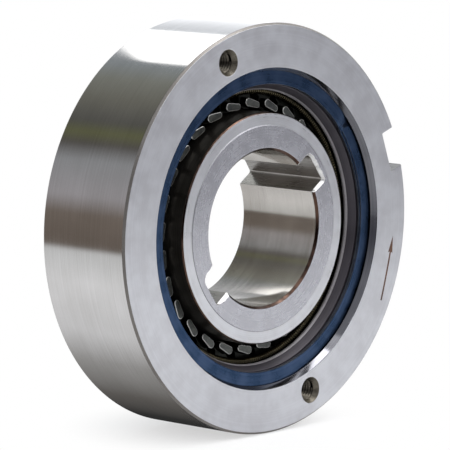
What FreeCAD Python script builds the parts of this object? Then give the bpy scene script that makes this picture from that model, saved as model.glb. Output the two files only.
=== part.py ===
"""One-way sprag clutch: two races, a full ring of sprags on two garter springs, and their side rings.

Millimetres. The axis lies along Y through the origin, which is the middle of the bore.
The front of the clutch faces -Y and the ring stands upright, with +Z up.
Angles are measured from +X, counter-clockwise for someone who looks at the front.
"""
import FreeCAD, Part
import Sketcher
import math
import os

SIZES = {
    "outer_width": 41.0,
    "outer_wall": 16.6,
    "outer_chamfer": 0.8,
    "seat_width": 6.5,
    "mouth_chamfer": 0.4,
    "groove_depth": 2.0,
    "slot_width": 15.4,
    "slot_depth": 7.0,
    "slot_angle": 19.6,
    "hole_inset": 9.3,
    "hole_diameter": 6.8,
    "hole_depth": 17.0,
    "drill_point": 2.0,
    "countersink": 1.2,
    "hole_angle": 109.5,
    "ring_recess": 3.0,
    "ring_thickness": 2.1,
    "ring_reach": 5.7,
    "ring_play": 0.1,
    "ring_gap": 1.2,
    "ring_end_angle": 37.4,
    "washer_thickness": 4.0,
    "washer_overlap": 1.6,
    "washer_bevel_depth": 2.3,
    "washer_bevel_width": 2.2,
    "bore_diameter": 57.15,
    "bore_chamfer": 0.9,
    "keyway_width": 12.7,
    "keyway_depth": 6.35,
    "keyway_round": 2.6,
    "keyway_corner": 0.8,
    "keyway_break": 1.0,
    "keyway_angle": 35.7,
    "track_diameter": 84.8,
    "track_chamfer": 0.5,
    "inner_recess": 2.8,
    "rim_width": 4.9,
    "pad_height": 0.3,
    "sprag_gap": 9.5,
    "sprag_count": 28,
    "sprag_end_gap": 0.4,
    "sprag_clearance": 0.18,
    "cam_offset": 1.5,
    "inner_cam_radius": 6.2,
    "outer_cam_radius": 5.5,
    "heel_reach": 2.5,
    "nose_reach": 6.0,
    "nose_height": 0.6,
    "crown_left": 6.0,
    "crown_right": 3.2,
    "waist_left": 2.7,
    "waist_right": 3.4,
    "waist_rise": 0.4,
    "waist_drop": 0.5,
    "notch_drop": 0.45,
    "notch_slope": 16.0,
    "sprag_edge": 0.2,
    "spring_diameter": 2.8,
    "spring_rise": 0.75,
    "spring_side_gap": 0.2,
}

# Places worked out from the driving sizes, as formulas on the sheet's cells
HALF = "Sizes.outer_width / 2"
BORE = "Sizes.bore_diameter / 2"
TRACK = "Sizes.track_diameter / 2"
OUTER_TRACK = f"({TRACK} + Sizes.sprag_gap)"
PIVOT = f"({TRACK} + Sizes.sprag_gap / 2)"
WALL = f"({OUTER_TRACK} + Sizes.seat_width)"
OUTSIDE = f"({WALL} + Sizes.outer_wall)"
GROOVE_FLOOR = f"({WALL} + Sizes.groove_depth)"
HOLE_CIRCLE = f"({OUTSIDE} - Sizes.hole_inset)"
RING_HOLE = f"({WALL} - Sizes.ring_reach)"
RING_BACK = "(Sizes.ring_recess + Sizes.ring_thickness)"
WASHER_FRONT = f"({RING_BACK} + Sizes.ring_play)"
SEAT = f"({WASHER_FRONT} + Sizes.washer_thickness)"
WASHER_HOLE = f"({OUTER_TRACK} - Sizes.washer_overlap)"
SPRAG_FRONT = f"({SEAT} + Sizes.sprag_end_gap)"
SPRAG_HALF = f"({HALF} - {SPRAG_FRONT})"
NOTCH_LENGTH = "(Sizes.spring_diameter + 2 * Sizes.spring_side_gap)"
SPRING_PLACE = f"({SPRAG_FRONT} + {NOTCH_LENGTH} / 2)"
SPRING_CIRCLE = f"({PIVOT} + Sizes.spring_rise + Sizes.spring_diameter / 2)"
SPRAG_COUNT = "round(Sizes.sprag_count)"
KEYWAY_FLOOR = f"({BORE} + Sizes.keyway_depth)"
KEYWAY_BREAK_TAPER = -45.0

document = FreeCAD.newDocument("sprag_clutch")
sheet = document.addObject("Spreadsheet::Sheet", "Sizes")
for row, (alias, size) in enumerate(SIZES.items(), start=1):
    sheet.set(f"A{row}", alias)
    sheet.set(f"B{row}", str(size))
    sheet.setAlias(f"B{row}", alias)
document.recompute()


def number(formula):
    """The present value of a formula on the sheet's cells."""
    result = sheet.evalExpression(formula)
    return float(getattr(result, "Value", result))


def new_body(name):
    """An empty body that will hold one sub-part."""
    body = document.addObject("PartDesign::Body", name)
    body.Label = name
    return body


def new_sketch(body, name, role, turn=None, shift=("0", "0", "0")):
    """A sketch on one of the body's planes, shifted, and turned about the plane's normal."""
    sketch = body.newObject("Sketcher::SketchObject", name)
    plane = next(item for item in body.Origin.OriginFeatures if item.Role == role)
    sketch.AttachmentSupport = [(plane, "")]
    sketch.MapMode = "FlatFace"
    sketch.AttachmentOffset = FreeCAD.Placement(
        FreeCAD.Vector(*(number(formula) for formula in shift)),
        FreeCAD.Rotation(FreeCAD.Vector(0, 0, 1), number(turn or "0")))
    for axis, formula in zip("xyz", shift):
        sketch.setExpression(f"AttachmentOffset.Base.{axis}", formula)
    if turn:
        sketch.setExpression("AttachmentOffset.Rotation.Angle", turn)
    return sketch


def fix(sketch, kind, elements, formula):
    """One size constraint that follows a formula."""
    index = sketch.addConstraint(Sketcher.Constraint(kind, *elements, number(formula)))
    sketch.setExpression(f"Constraints[{index}]", formula)


def fix_point(sketch, edge, end, across=None, along=None):
    """Place one end of an edge, or an arc's centre, from the sketch's origin."""
    if across is not None:
        fix(sketch, "DistanceX", (-1, 1, edge, end), across)
    if along is not None:
        fix(sketch, "DistanceY", (-1, 1, edge, end), along)


def close_loop(sketch, edges):
    """Join the end of each edge to the start of the next."""
    for this, following in zip(edges, edges[1:] + edges[:1]):
        sketch.addConstraint(Sketcher.Constraint("Coincident", this, 2, following, 1))


def polygon(sketch, corners):
    """A closed outline of straight edges, each corner given by two formulas."""
    points = [FreeCAD.Vector(number(across), number(along), 0) for across, along in corners]
    edges = [sketch.addGeometry(Part.LineSegment(start, end), False)
             for start, end in zip(points, points[1:] + points[:1])]
    close_loop(sketch, edges)
    for edge, (across, along) in zip(edges, corners):
        fix_point(sketch, edge, 1, across, along)


def turned(body, name, corners):
    """A solid of revolution about Y: each corner is a radius and a place along Y."""
    sketch = new_sketch(body, f"{name}_profile", "XY_Plane")
    polygon(sketch, corners)
    feature = body.newObject("PartDesign::Revolution", f"{name}_turned")
    feature.Profile = sketch
    feature.ReferenceAxis = (sketch, ["V_Axis"])
    feature.Angle = 360.0
    document.recompute()
    return feature


def cut_through(body, name, sketch):
    """Cut a sketch's outline right through the body, both ways."""
    before = body.Shape.Volume
    feature = body.newObject("PartDesign::Pocket", name)
    feature.Profile = sketch
    feature.Type = "ThroughAll"
    feature.Midplane = True
    document.recompute()
    if body.Shape.Volume >= before:
        raise ValueError(f"{name} cuts nothing")
    return feature


def cut_into(body, name, sketch, depth, reverse, taper=0.0):
    """Cut a sketch's outline into the body to a depth."""
    before = body.Shape.Volume
    feature = body.newObject("PartDesign::Pocket", name)
    feature.Profile = sketch
    feature.Type = "Length"
    feature.Length = number(depth)
    feature.setExpression("Length", depth)
    feature.Reversed = reverse
    feature.TaperAngle = taper
    document.recompute()
    if body.Shape.Volume >= before:
        raise ValueError(f"{name} cuts nothing")
    return feature


def chamfer(body, name, edges, formula):
    """Break the named edges of the body's present shape."""
    base = body.Tip
    feature = body.newObject("PartDesign::Chamfer", name)
    feature.Base = (base, edges)
    feature.Size = number(formula)
    feature.setExpression("Size", formula)
    document.recompute()
    return feature


def edges_where(shape, test):
    """Names of the edges whose bounding box passes a test."""
    return [f"Edge{index}" for index, edge in enumerate(shape.Edges, start=1) if test(edge)]


def mirrored(corners):
    """The same corners on the other side of the middle plane, in reverse order."""
    return [(across, f"-({along})") for across, along in reversed(corners)]


# Outer race: ground ring with the sprags' outer track, a washer seat and a ring groove on each side
def build_outer_race():
    body = new_body("outer_race")
    front = [
        (OUTER_TRACK, f"{SEAT} - {HALF}"),
        (WALL, f"{SEAT} - {HALF}"),
        (WALL, f"{RING_BACK} + Sizes.ring_play / 2 - {HALF}"),
        (GROOVE_FLOOR, f"{RING_BACK} + Sizes.ring_play / 2 - {HALF}"),
        (GROOVE_FLOOR, f"Sizes.ring_recess - Sizes.ring_play / 2 - {HALF}"),
        (WALL, f"Sizes.ring_recess - Sizes.ring_play / 2 - {HALF}"),
        (WALL, f"Sizes.mouth_chamfer - {HALF}"),
        (f"{WALL} + Sizes.mouth_chamfer", f"-{HALF}"),
        (f"{OUTSIDE} - Sizes.outer_chamfer", f"-{HALF}"),
        (OUTSIDE, f"Sizes.outer_chamfer - {HALF}"),
    ]
    turned(body, "outer_race", front + mirrored(front))

    slot = new_sketch(body, "slot_outline", "XZ_Plane", turn="Sizes.slot_angle")
    side = "Sizes.slot_width / 2"
    floor = f"{OUTSIDE} - Sizes.slot_depth"
    outside = f"{OUTSIDE} + Sizes.slot_depth"
    polygon(slot, [(floor, f"-{side}"), (outside, f"-{side}"), (outside, side), (floor, side)])
    cut_through(body, "key_slot", slot)

    for name, turn in (("upper", "Sizes.hole_angle"), ("lower", "Sizes.hole_angle + 180")):
        place = (f"{HOLE_CIRCLE} * cos(({turn}) * 1deg)", f"-{HALF}", f"{HOLE_CIRCLE} * sin(({turn}) * 1deg)")
        hole = new_sketch(body, f"{name}_hole_profile", "XY_Plane", shift=place)
        radius = "Sizes.hole_diameter / 2"
        sink = f"({radius} + Sizes.countersink)"
        polygon(hole, [
            ("0", "0"),
            (sink, "0"),
            (radius, "Sizes.countersink"),
            (radius, "Sizes.hole_depth"),
            ("0", "Sizes.hole_depth + Sizes.drill_point"),
        ])
        feature = body.newObject("PartDesign::Groove", f"{name}_tapped_hole")
        feature.Profile = hole
        feature.ReferenceAxis = (hole, ["V_Axis"])
        feature.Angle = 360.0
        document.recompute()
    return body


# Inner race: hardened sleeve with the inner track, the bore and two opposed keyways
def build_inner_race():
    body = new_body("inner_race")
    pad = f"({TRACK} - Sizes.rim_width)"
    front = f"Sizes.inner_recess - {HALF}"
    rim = f"Sizes.inner_recess + Sizes.pad_height - {HALF}"
    turned(body, "inner_race", [
        (BORE, f"{front} + Sizes.bore_chamfer"),
        (f"{BORE} + Sizes.bore_chamfer", front),
        (pad, front),
        (f"{pad} + Sizes.pad_height", rim),
        (f"{TRACK} - Sizes.track_chamfer", rim),
        (TRACK, f"{rim} + Sizes.track_chamfer"),
        (TRACK, f"{HALF} - Sizes.track_chamfer"),
        (f"{TRACK} - Sizes.track_chamfer", HALF),
        (f"{BORE} + Sizes.bore_chamfer", HALF),
        (BORE, f"{HALF} - Sizes.bore_chamfer"),
    ])
    keyways = new_sketch(body, "keyways_outline", "XZ_Plane", turn="Sizes.keyway_angle")
    rounded_bar(keyways, grown="0")
    cut_through(body, "keyways", keyways)

    for name, level, reverse in (("front", f"{HALF} - Sizes.inner_recess", False), ("back", f"-{HALF}", True)):
        rim_sketch = new_sketch(body, f"keyway_{name}_rim", "XZ_Plane", turn="Sizes.keyway_angle",
                                shift=("0", "0", level))
        rounded_bar(rim_sketch, grown="Sizes.keyway_break")
        cut_into(body, f"keyway_{name}_break", rim_sketch, "Sizes.keyway_break", reverse,
                 taper=KEYWAY_BREAK_TAPER)
    return body


def rounded_bar(sketch, grown):
    """A bar across the bore, as the keyways are cut, with larger corners on its upper side."""
    end = f"({KEYWAY_FLOOR} + {grown})"
    side = f"(Sizes.keyway_width / 2 + {grown})"
    small, large = f"(Sizes.keyway_corner + {grown})", f"(Sizes.keyway_round + {grown})"
    corners = ((1, -1, small), (1, 1, large), (-1, 1, large), (-1, -1, small))
    arcs = []
    for sign_x, sign_y, radius in corners:
        size = number(radius)
        centre = FreeCAD.Vector(sign_x * (number(end) - size), sign_y * (number(side) - size), 0)
        start = math.atan2(sign_y, sign_x) - math.pi / 4
        circle = Part.Circle(centre, FreeCAD.Vector(0, 0, 1), size)
        arcs.append(sketch.addGeometry(Part.ArcOfCircle(circle, start, start + math.pi / 2), False))
    for this, following in zip(arcs, arcs[1:] + arcs[:1]):
        edge = Part.LineSegment(sketch.getPoint(this, 2), sketch.getPoint(following, 1))
        line = sketch.addGeometry(edge, False)
        sketch.addConstraint(Sketcher.Constraint("Tangent", this, 2, line, 1))
        sketch.addConstraint(Sketcher.Constraint("Tangent", line, 2, following, 1))
    for arc, (sign_x, sign_y, radius) in zip(arcs, corners):
        fix(sketch, "Radius", (arc,), radius)
        fix_point(sketch, arc, 3, f"{sign_x} * ({end} - {radius})", f"{sign_y} * ({side} - {radius})")


# Side rings: a bevelled washer that closes the sprag space and the spring ring that holds it in
def build_washer(name, side):
    body = new_body(name)
    clearance = "Sizes.ring_play"
    corners = [
        (f"{WASHER_HOLE} + Sizes.washer_bevel_width", f"{WASHER_FRONT} - {HALF}"),
        (f"{WALL} - {clearance}", f"{WASHER_FRONT} - {HALF}"),
        (f"{WALL} - {clearance}", f"{SEAT} - {HALF}"),
        (WASHER_HOLE, f"{SEAT} - {HALF}"),
        (WASHER_HOLE, f"{WASHER_FRONT} + Sizes.washer_bevel_depth - {HALF}"),
    ]
    turned(body, name, corners if side == "front" else mirrored(corners))
    return body


def build_retaining_ring(name, side):
    body = new_body(name)
    outer = f"{GROOVE_FLOOR} - Sizes.ring_play"
    corners = [
        (RING_HOLE, f"Sizes.ring_recess - {HALF}"),
        (outer, f"Sizes.ring_recess - {HALF}"),
        (outer, f"{RING_BACK} - {HALF}"),
        (RING_HOLE, f"{RING_BACK} - {HALF}"),
    ]
    turned(body, name, corners if side == "front" else mirrored(corners))
    end_gap = new_sketch(body, f"{name}_end_outline", "XZ_Plane", turn="Sizes.ring_end_angle")
    half_gap = "Sizes.ring_gap / 2"
    start = f"{RING_HOLE} - Sizes.ring_gap"
    finish = f"{RING_HOLE} + Sizes.ring_gap"
    polygon(end_gap, [(start, f"-{half_gap}"), (finish, f"-{half_gap}"), (finish, half_gap), (start, half_gap)])
    cut_through(body, f"{name}_end", end_gap)
    return body


# Garter spring: a close-wound coil joined into a ring, here its round envelope
def build_garter_spring(name, side):
    ring = document.addObject("Part::Torus", name)
    ring.Label = name
    ring.setExpression("Radius1", SPRING_CIRCLE)
    ring.setExpression("Radius2", "Sizes.spring_diameter / 2")
    direction = "-1" if side == "front" else "1"
    ring.Placement = FreeCAD.Placement(FreeCAD.Vector(), FreeCAD.Rotation(FreeCAD.Vector(1, 0, 0), 90))
    ring.setExpression("Placement.Base.y", f"{direction} * ({HALF} - {SPRING_PLACE})")
    return ring


# Sprag: in its own axes X is clockwise, Y is outwards and Z points to the front
INNER_CAM_HEIGHT = (f"(sqrt(pow({TRACK} + Sizes.sprag_clearance + Sizes.inner_cam_radius; 2)"
                    f" - pow(Sizes.cam_offset; 2)) - {PIVOT})")
OUTER_CAM_HEIGHT = (f"(sqrt(pow({OUTER_TRACK} - Sizes.sprag_clearance - Sizes.outer_cam_radius; 2)"
                    f" - pow(Sizes.cam_offset; 2)) - {PIVOT})")


def cam_arc(centre_x, centre_y, radius, from_x, to_x, below):
    """The arc of a cam between two places across, on its lower or its upper side, counter-clockwise."""
    def angle(across):
        height = math.sqrt(radius ** 2 - (across - centre_x) ** 2)
        return math.atan2(-height if below else height, across - centre_x)
    circle = Part.Circle(FreeCAD.Vector(centre_x, centre_y, 0), FreeCAD.Vector(0, 0, 1), radius)
    return Part.ArcOfCircle(circle, angle(from_x), angle(to_x))


def build_sprag(index):
    name = f"sprag_{index + 1:02d}"
    body = new_body(name)
    sketch = new_sketch(body, f"{name}_profile", "XY_Plane", shift=("0", "0", f"-{SPRAG_HALF}"))
    inner = cam_arc(number("Sizes.cam_offset"), number(INNER_CAM_HEIGHT), number("Sizes.inner_cam_radius"),
                    -number("Sizes.heel_reach"), number("Sizes.nose_reach"), below=True)
    outer = cam_arc(-number("Sizes.cam_offset"), number(OUTER_CAM_HEIGHT), number("Sizes.outer_cam_radius"),
                    number("Sizes.crown_right"), -number("Sizes.crown_left"), below=False)
    nose_top = inner.EndPoint + FreeCAD.Vector(0, number("Sizes.nose_height"), 0)
    waist_right = FreeCAD.Vector(number("Sizes.waist_right"), -number("Sizes.waist_drop"), 0)
    waist_left = FreeCAD.Vector(-number("Sizes.waist_left"), number("Sizes.waist_rise"), 0)
    pieces = {
        "inner cam": inner,
        "nose": Part.LineSegment(inner.EndPoint, nose_top),
        "nose back": Part.LineSegment(nose_top, waist_right),
        "right flank": Part.LineSegment(waist_right, outer.StartPoint),
        "outer cam": outer,
        "left flank": Part.LineSegment(outer.EndPoint, waist_left),
        "heel": Part.LineSegment(waist_left, inner.StartPoint),
    }
    edges = {label: sketch.addGeometry(piece, False) for label, piece in pieces.items()}
    close_loop(sketch, list(edges.values()))
    fix(sketch, "Radius", (edges["inner cam"],), "Sizes.inner_cam_radius")
    fix_point(sketch, edges["inner cam"], 3, "Sizes.cam_offset", INNER_CAM_HEIGHT)
    fix_point(sketch, edges["inner cam"], 1, across="-Sizes.heel_reach")
    fix_point(sketch, edges["inner cam"], 2, across="Sizes.nose_reach")
    fix_point(sketch, edges["nose"], 2, across="Sizes.nose_reach")
    fix(sketch, "DistanceY", (edges["nose"], 1, edges["nose"], 2), "Sizes.nose_height")
    fix(sketch, "Radius", (edges["outer cam"],), "Sizes.outer_cam_radius")
    fix_point(sketch, edges["outer cam"], 3, "-Sizes.cam_offset", OUTER_CAM_HEIGHT)
    fix_point(sketch, edges["outer cam"], 1, across="Sizes.crown_right")
    fix_point(sketch, edges["outer cam"], 2, across="-Sizes.crown_left")
    fix_point(sketch, edges["right flank"], 1, "Sizes.waist_right", "-Sizes.waist_drop")
    fix_point(sketch, edges["heel"], 1, "-Sizes.waist_left", "Sizes.waist_rise")

    pad = body.newObject("PartDesign::Pad", f"{name}_length")
    pad.Profile = sketch
    pad.Length = number(f"2 * {SPRAG_HALF}")
    pad.setExpression("Length", f"2 * {SPRAG_HALF}")
    document.recompute()

    # The garter springs lie in a notch at each end, on a floor that slopes down towards the nose
    reach = "Sizes.sprag_gap"
    slope = "tan(Sizes.notch_slope * 1deg)"
    for end, direction in (("front", 1), ("back", -1)):
        notch = new_sketch(body, f"{name}_{end}_notch_outline", "XY_Plane",
                           shift=("0", "0", f"{direction} * {SPRAG_HALF}"))
        polygon(notch, [
            (f"-{reach}", f"{reach} * {slope} - Sizes.notch_drop"),
            (reach, f"-{reach} * {slope} - Sizes.notch_drop"),
            (reach, reach),
            (f"-{reach}", reach),
        ])
        cut_into(body, f"{name}_{end}_notch", notch, NOTCH_LENGTH, reverse=direction < 0)

    end_level = number(SPRAG_HALF)
    rims = edges_where(body.Shape, lambda edge: edge.BoundBox.ZLength < 0.001
                       and abs(abs(edge.BoundBox.ZMin) - end_level) < 0.001)
    chamfer(body, f"{name}_edge", rims, "Sizes.sprag_edge")

    angle = f"{index} * 360deg / {SPRAG_COUNT}"
    quarter = FreeCAD.Rotation(FreeCAD.Vector(1, 0, 0), 90)
    around = FreeCAD.Rotation(FreeCAD.Vector(0, 1, 0), 90 - index * 360 / number(SPRAG_COUNT))
    body.Placement = FreeCAD.Placement(FreeCAD.Vector(), around.multiply(quarter))
    body.setExpression("Placement.Base.x", f"{PIVOT} * cos({angle})")
    body.setExpression("Placement.Base.z", f"{PIVOT} * sin({angle})")
    return body


parts = [build_outer_race(), build_inner_race()]
for side in ("front", "back"):
    parts.append(build_washer(f"end_washer_{side}", side))
    parts.append(build_retaining_ring(f"retaining_ring_{side}", side))
    parts.append(build_garter_spring(f"garter_spring_{side}", side))
parts += [build_sprag(index) for index in range(round(number(SPRAG_COUNT)))]
document.recompute()

for item in document.Objects:
    if {"Invalid", "Error"} & set(item.State):
        raise ValueError(f"{item.Name} did not build: {item.State}")
for part in parts:
    if part.Shape.isNull() or not part.Shape.isValid() or not part.Shape.Solids:
        raise ValueError(f"{part.Label} has no sound solid")

os.makedirs("parts", exist_ok=True)
for part in parts:
    part.Shape.exportStep(f"parts/{part.Label}.step")
    print(f"{part.Label}: {len(part.Shape.Solids)} solid, {part.Shape.Volume:.1f} cubic mm")
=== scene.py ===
"""Looks of a one-way sprag clutch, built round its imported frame.

The axis lies along Y through the origin, the front faces -Y and the ring stands upright with +Z up.
Sizes in the classes are millimetres, angles are degrees from +X, counter-clockwise seen from the front.
"""
import logging
import math
from collections.abc import Callable, Iterable, Sequence
from dataclasses import dataclass
from enum import Enum

import bpy
from mathutils import Matrix, Vector


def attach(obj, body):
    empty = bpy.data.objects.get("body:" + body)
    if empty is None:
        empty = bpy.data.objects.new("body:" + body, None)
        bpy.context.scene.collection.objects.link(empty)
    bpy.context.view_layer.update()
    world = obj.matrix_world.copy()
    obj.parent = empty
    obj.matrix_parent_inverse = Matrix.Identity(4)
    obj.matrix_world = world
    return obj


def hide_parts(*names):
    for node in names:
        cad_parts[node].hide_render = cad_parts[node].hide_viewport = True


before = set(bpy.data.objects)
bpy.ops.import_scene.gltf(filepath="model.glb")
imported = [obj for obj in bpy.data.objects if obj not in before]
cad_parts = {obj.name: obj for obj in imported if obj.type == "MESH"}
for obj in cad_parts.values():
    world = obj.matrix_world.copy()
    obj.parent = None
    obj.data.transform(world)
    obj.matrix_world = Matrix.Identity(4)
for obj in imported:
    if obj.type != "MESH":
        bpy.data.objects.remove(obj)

MM = 0.001
FULL_TURN = 2 * math.pi
CIRCLE = 360.0
LOG = logging.getLogger("clutch")
Point = tuple[float, float]
Spot = tuple[float, float, float]
Tree = bpy.types.NodeTree
Node = bpy.types.Node
Socket = bpy.types.NodeSocket
Material = bpy.types.Material
Piece = bpy.types.Object

# Nearly all values of the noise lie between these
NOISE_LOW, NOISE_HIGH = 0.3, 0.7
# Height of the machining marks at full strength, in millimetres
MARK_HEIGHT = 0.1
# Points closer than this are one, in millimetres, in an outline and in a finished mesh
OUTLINE_WELD, MESH_WELD = 0.001, 0.002
# A face lies flat where its normal runs this far along the axis, and is a chamfer from the second share on
FLAT, SLOPED = 0.9, 0.2
# A face isn't turned where its normal points this far past the axis
NOT_ROUND = 0.12


class Side(Enum):
    """The two ends of the clutch, by the sign of Y."""

    FRONT = -1
    BACK = 1


# Colour and shader helpers


def linear(code: str) -> tuple[float, float, float, float]:
    """A colour for a shader socket.

    Args:
        code: The sRGB colour as six hex digits.

    Returns:
        The same colour as linear red, green, blue and alpha.
    """
    channels = [int(code[start:start + 2], 16) / 255 for start in (0, 2, 4)]
    red, green, blue = (c / 12.92 if c <= 0.04045 else ((c + 0.055) / 1.055) ** 2.4 for c in channels)
    return red, green, blue, 1.0


def add_node(tree: Tree, kind: str, settings: dict | None = None, inputs: dict | None = None,
             stops: Sequence[tuple[float, str]] = ()) -> Node:
    """Add a node, set it up and link what feeds it.

    Args:
        tree: The node tree.
        kind: The node's type name.
        settings: Attributes by name. A dot stands before an attribute of the node's colour ramp.
        inputs: Values, or what to link, by input name or number. A node is linked by its first output.
        stops: The colour ramp's places from 0 to 1 with their hex colours, in order.

    Returns:
        The new node.
    """
    node = tree.nodes.new(kind)
    for name, value in (settings or {}).items():
        if name.startswith("."):
            setattr(node.color_ramp, name[1:], value)
        else:
            setattr(node, name, value)
    for name, value in (inputs or {}).items():
        if isinstance(value, Node):
            value = value.outputs[0]
        if isinstance(value, Socket):
            tree.links.new(value, node.inputs[name])
        else:
            node.inputs[name].default_value = value
    for _ in stops[2:]:
        node.color_ramp.elements.new(0.5)
    for number, (place, code) in enumerate(stops):
        node.color_ramp.elements[number].position = place
        node.color_ramp.elements[number].color = linear(code)
    return node


def new_material(name: str) -> Material:
    """An empty material that is made of nodes.

    Args:
        name: Its name.

    Returns:
        The material.
    """
    material = bpy.data.materials.new(name)
    material.use_nodes = True
    material.node_tree.nodes.clear()
    return material


# Finishes


@dataclass(frozen=True)
class MetalFinish:
    """A bare or coated steel surface with machining marks along one direction.

    The marks are noise stretched by `grain`, which holds the marks' spacing in millimetres along X, Y and Z
    of the object, or along the radius where `turned` is set. Real grinding and turning marks are finer than
    0.3 mm and wouldn't show, so none is drawn finer than that. `bare` is 1 for clean metal and less where
    oil, oxide or a rough skin scatters the light.
    """

    name: str
    dark: str
    light: str
    roughness: Point
    grain: Spot
    turned: bool = False
    bump: float = 0.05
    cloud_size: float = 18.0
    anisotropy: float = 0.0
    streak: float = 0.45
    bare: float = 1.0

    def material(self) -> Material:
        """Build the material once and hand it out again after that.

        Returns:
            The material.
        """
        known = bpy.data.materials.get(self.name)
        if known:
            return known
        material = new_material(self.name)
        tree = material.node_tree
        place = add_node(tree, "ShaderNodeTexCoord").outputs["Object"]
        marks = self.marks(tree, place)
        clouds = add_node(tree, "ShaderNodeTexNoise", inputs={
            "Vector": place, "Scale": 1 / (self.cloud_size * MM), "Detail": 3.0})
        clouded = add_node(tree, "ShaderNodeMath", {"operation": "MULTIPLY"},
                           {0: clouds, 1: 1 - self.streak})
        mixed = add_node(tree, "ShaderNodeMath", {"operation": "MULTIPLY_ADD"},
                         {0: marks, 1: self.streak, 2: clouded})
        colour = add_node(tree, "ShaderNodeValToRGB", {".interpolation": "EASE"}, {"Fac": mixed},
                          ((NOISE_LOW, self.dark), (NOISE_HIGH, self.light)))
        rough = add_node(tree, "ShaderNodeMapRange", inputs={
            "Value": mixed, "From Min": NOISE_LOW, "From Max": NOISE_HIGH,
            "To Min": self.roughness[0], "To Max": self.roughness[1]})
        normal = add_node(tree, "ShaderNodeBump", inputs={
            "Strength": self.bump, "Distance": MARK_HEIGHT * MM, "Height": marks})
        inputs = {"Base Color": colour, "Metallic": self.bare, "Roughness": rough, "Normal": normal}
        if self.anisotropy:
            tangent = add_node(tree, "ShaderNodeTangent", {"direction_type": "RADIAL", "axis": "Y"})
            inputs |= {"Anisotropic": self.anisotropy, "Anisotropic Rotation": 0.25, "Tangent": tangent}
        shader = add_node(tree, "ShaderNodeBsdfPrincipled", inputs=inputs)
        add_node(tree, "ShaderNodeOutputMaterial", inputs={"Surface": shader})
        return material

    def marks(self, tree: Tree, place: Socket) -> Node:
        """Noise drawn out along the direction of the tool.

        Args:
            tree: The material's tree.
            place: The object coordinates.

        Returns:
            The noise, with values from 0 to 1.
        """
        along = place
        if self.turned:
            axes = add_node(tree, "ShaderNodeSeparateXYZ", inputs={"Vector": place}).outputs
            level = add_node(tree, "ShaderNodeCombineXYZ", inputs={"X": axes["X"], "Z": axes["Z"]})
            radius = add_node(tree, "ShaderNodeVectorMath", {"operation": "LENGTH"}, {0: level})
            along = add_node(tree, "ShaderNodeCombineXYZ", inputs={
                "X": radius.outputs["Value"], "Y": axes["Y"], "Z": 0.0})
        scale = tuple(1 / (size * MM) for size in self.grain)
        stretched = add_node(tree, "ShaderNodeVectorMath", {"operation": "MULTIPLY"}, {0: along, 1: scale})
        return add_node(tree, "ShaderNodeTexNoise", inputs={
            "Vector": stretched, "Scale": 1.0, "Detail": 2.0})


# Bearing steel, ground on its outside: sharp reflections with faint rings from the wheel
GROUND_OUTSIDE = MetalFinish("ground_bearing_steel", "c5c3c0", "d3d1cf", (0.08, 0.12),
                             (60.0, 0.45, 60.0), bump=0.012, streak=0.45)
# The same steel left as turned at the corners: duller and a little brown
TURNED_CHAMFER = MetalFinish("turned_chamfer_steel", "6e6a66", "87837f", (0.34, 0.46), (0.3, 0.3, 0.3),
                             bump=0.03, bare=0.65)
# Lead-in cone and walls of the counterbores, bored smooth and oiled: dark with sharp reflections
TURNED_WALL = MetalFinish("bored_lead_in_steel", "5c5c60", "737378", (0.08, 0.13), (40.0, 0.35, 40.0),
                          bump=0.02)
# Faces turned and then ground: a soft, slightly cloudy satin
SATIN_FACE = MetalFinish("satin_turned_face", "bdbdc1", "cbccd0", (0.33, 0.38), (0.5, 40.0, 40.0),
                         turned=True, bump=0.012, cloud_size=6.0, anisotropy=0.5, streak=0.3)
# Finish-turned rim of the inner race: finer rings and a little more shine
INNER_FACE = MetalFinish("fine_turned_rim", "bababd", "cdced2", (0.26, 0.32), (0.35, 40.0, 40.0),
                         turned=True, bump=0.02, cloud_size=8.0, anisotropy=0.6, streak=0.45)
# Raised pad round the bore: the same steel, ground darker and smoother than its rim
PAD_FACE = MetalFinish("ground_pad_face", "a7a7ac", "b6b6bc", (0.24, 0.30), (0.5, 40.0, 40.0),
                       turned=True, bump=0.012, cloud_size=6.0, anisotropy=0.5, streak=0.3)
# The little step between pad and rim, turned with a rough tool
PAD_STEP = MetalFinish("turned_pad_step", "86868a", "9e9ea2", (0.42, 0.54), (0.4, 0.4, 0.4), bump=0.03,
                       bare=0.6)
# Honed bore: brownish grey and softly blurred, with faint streaks round it
HONED_BORE = MetalFinish("honed_bore_steel", "b2ada6", "c9c5be", (0.09, 0.13), (30.0, 0.9, 30.0),
                         bump=0.012, streak=0.35, bare=0.8)
# Corners of the bore, turned and then browned by oil
BROWNED_CHAMFER = MetalFinish("browned_bore_chamfer", "2c231f", "5a453b", (0.14, 0.22), (2.5, 2.5, 2.5),
                              bump=0.03, cloud_size=12.0)
# Hardened tracks with a grey-brown oil film
OILED_TRACK = MetalFinish("oiled_track_steel", "4c4844", "6b6762", (0.30, 0.42), (30.0, 0.5, 30.0),
                          bump=0.03, bare=0.9)
# Broached and milled walls: straight marks along the axis
MILLED_WALL = MetalFinish("milled_slot_steel", "9a9893", "bebbb7", (0.22, 0.34), (0.5, 20.0, 0.5),
                          bump=0.06)
# Corners broken with a hand file: bright, uneven little facets
FILED_EDGE = MetalFinish("filed_edge_steel", "cac9c7", "ebeae8", (0.26, 0.40), (1.2, 1.2, 1.2),
                         bump=0.25, cloud_size=2.0, bare=0.6)
# Tapped bores with cutting oil left in them, painted nearly black for the shade inside the holes
OILED_HOLE_PAINTED_SHADE = MetalFinish("oiled_hole_painted_shade", "12110f", "25231f", (0.34, 0.48), (0.6, 0.6, 0.6),
                         bump=0.05, bare=0.8)
# Crests of the thread, a little lighter than the hole, painted dark for the shade inside it
THREAD_CREST_PAINTED_SHADE = MetalFinish("tapped_thread_painted_shade", "3c3831", "5f5a51", (0.24, 0.36), (0.6, 0.6, 0.6),
                           bump=0.04, bare=0.8)
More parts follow.
